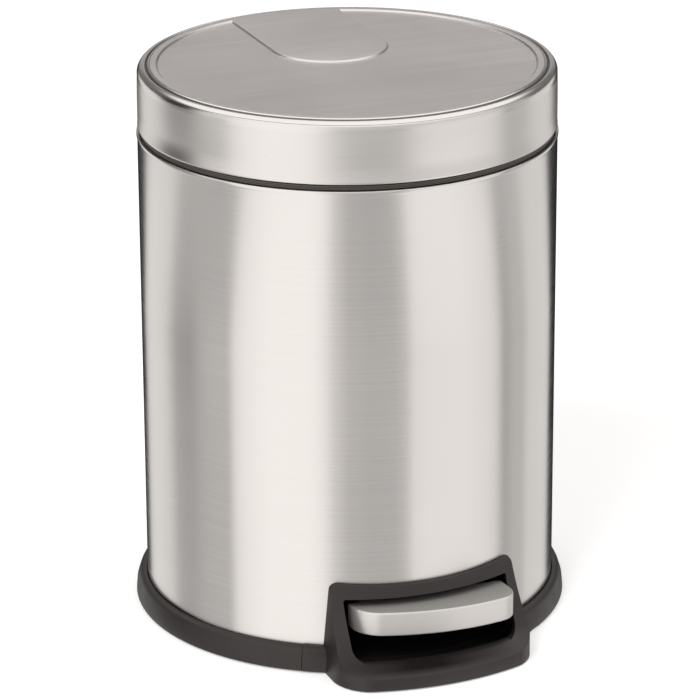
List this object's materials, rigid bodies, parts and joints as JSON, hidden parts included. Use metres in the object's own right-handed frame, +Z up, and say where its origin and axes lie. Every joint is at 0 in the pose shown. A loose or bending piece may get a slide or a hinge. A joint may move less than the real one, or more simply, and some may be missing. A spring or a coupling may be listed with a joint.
{
  "type": "pedal bin",
  "caption": "Small round pedal bin: brushed steel tube and lid, dark plastic base and pedal surround, pedal-driven lid with soft close, lift-out bucket.",
  "frame": {"origin": "middle of the footprint's box on the floor, so the bin's own axis stands 6.5 mm behind it", "axes": "+Z up, -Y towards the pedal, +Y towards the hinge, +X to the right seen from behind the pedal looking at the hinge"},
  "size_m": [0.2164, 0.247, 0.2773],
  "materials": {
    "brushed_steel": "fine brushed grain, satin",
    "dark_plastic": "fine moulded grain",
    "black_plastic": "moulded",
    "plated_steel": "zinc plated",
    "nylon": "moulded",
    "rubber": "soft"
  },
  "bodies": {
    "base": {"body_shell": "brushed_steel", "base_moulding": "dark_plastic", "foot_1": "rubber", "foot_2": "rubber", "foot_3": "rubber", "foot_4": "rubber", "pedal_surround": "dark_plastic", "collar_ring": "dark_plastic", "hinge_housing": "dark_plastic", "hinge_pin": "plated_steel", "housing_screw_1": "plated_steel", "housing_screw_2": "plated_steel", "rod_guide": "black_plastic", "lever_axle": "plated_steel", "axle_clip": "plated_steel", "bush_left": "nylon", "bush_right": "nylon", "damper_cylinder": "black_plastic", "damper_bracket": "black_plastic"},
    "lid": {"lid_shell": "brushed_steel", "lid_liner": "black_plastic", "lid_bracket": "black_plastic", "bracket_screw_1": "plated_steel", "bracket_screw_2": "plated_steel", "lid_bumper_1": "rubber", "lid_bumper_2": "rubber"},
    "pedal": {"pedal_plate": "brushed_steel", "pedal_core": "black_plastic", "pedal_lever": "plated_steel", "pedal_screw_1": "plated_steel", "pedal_screw_2": "plated_steel"},
    "rod": {"push_rod": "plated_steel", "rod_clip_low": "plated_steel", "rod_clip_high": "plated_steel", "rod_crosshead": "black_plastic"},
    "plunger": {"damper_plunger": "plated_steel"},
    "bucket": {"inner_bucket": "black_plastic"},
    "bail": {"bucket_bail": "plated_steel", "bail_grip": "black_plastic"}
  },
  "joints": [
    {"name": "lid_hinge", "type": "hinge", "parent": "base", "child": "lid", "pos_m": [0, 0.1147, 0.243], "axis": [-1, 0, 0], "range_deg": [0, 80]},
    {"name": "pedal_pivot", "type": "hinge", "parent": "base", "child": "pedal", "pos_m": [0, -0.0435, 0.022], "axis": [1, 0, 0], "range_deg": [0, 7.9]},
    {"name": "rod_pivot", "type": "hinge", "parent": "pedal", "child": "rod", "pos_m": [0, 0.10283, 0.01204], "axis": [1, 0, 0], "range_deg": [-7.9, 0]},
    {"name": "damper_slide", "type": "slide", "parent": "base", "child": "plunger", "axis": [0, 0, 1], "range_m": [0, 0.02]},
    {"name": "bucket_lift", "type": "slide", "parent": "base", "child": "bucket", "axis": [0, 0, 1], "range_m": [0, 0.008]},
    {"name": "bail_swing", "type": "hinge", "parent": "bucket", "child": "bail", "pos_m": [0, 0.0065, 0.2514], "axis": [-1, 0, 0], "range_deg": [0, 5]}
  ],
  "couplings": [
    {"joint": "pedal_pivot", "follows": "lid_hinge", "ratio": 0.097606},
    {"joint": "rod_pivot", "follows": "lid_hinge", "ratio": -0.097606},
    {"joint": "damper_slide", "follows": "lid_hinge", "m_per_rad": 0.014271}
  ]
}
